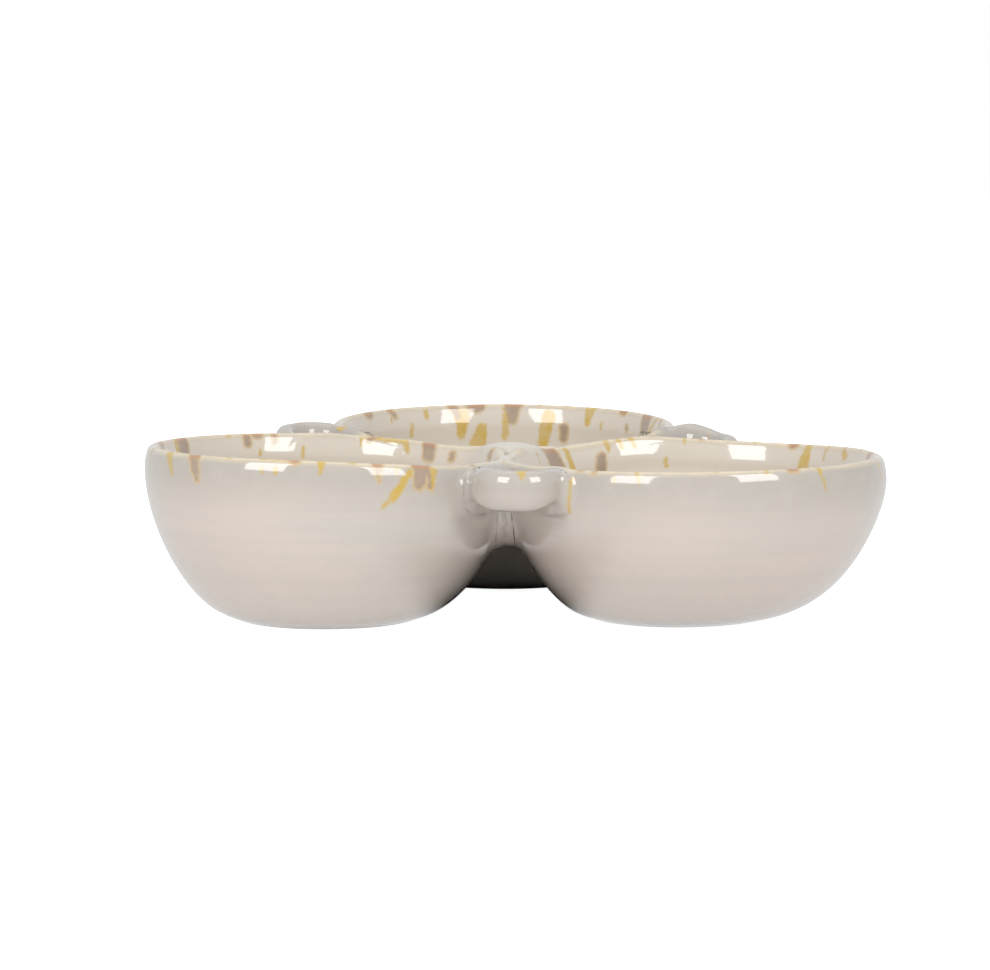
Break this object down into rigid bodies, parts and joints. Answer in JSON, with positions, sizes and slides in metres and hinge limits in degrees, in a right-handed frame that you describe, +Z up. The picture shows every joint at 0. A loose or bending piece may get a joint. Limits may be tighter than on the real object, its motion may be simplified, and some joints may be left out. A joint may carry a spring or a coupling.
{
  "type": "divided serving bowl",
  "caption": "Divided serving dish: round stoneware bowls joined in a trefoil, with a loop handle in each notch between them.",
  "frame": {"origin": "middle of the dish's box in plan, at the height of the surface that the feet stand on", "axes": "+X along the line from the front left bowl to the front right bowl, +Y from the front handle to the rear bowl, +Z up"},
  "size_m": [0.3001, 0.2807, 0.0714],
  "materials": {
    "bowl_glaze": "glossy warm white glaze with ochre and brown runs at the rims",
    "handle_glaze": "glossy warm white glaze, creamy where it pools",
    "joint_glaze": "glossy pale glaze gathered in the joints"
  },
  "bodies": {
    "root": {"left_bowl": "bowl_glaze", "right_bowl": "bowl_glaze", "rear_bowl": "bowl_glaze", "front_handle": "handle_glaze", "left_handle": "handle_glaze", "right_handle": "handle_glaze", "front_web": "joint_glaze", "left_web": "joint_glaze", "right_web": "joint_glaze", "centre_plug": "joint_glaze"}
  },
  "joints": []
}
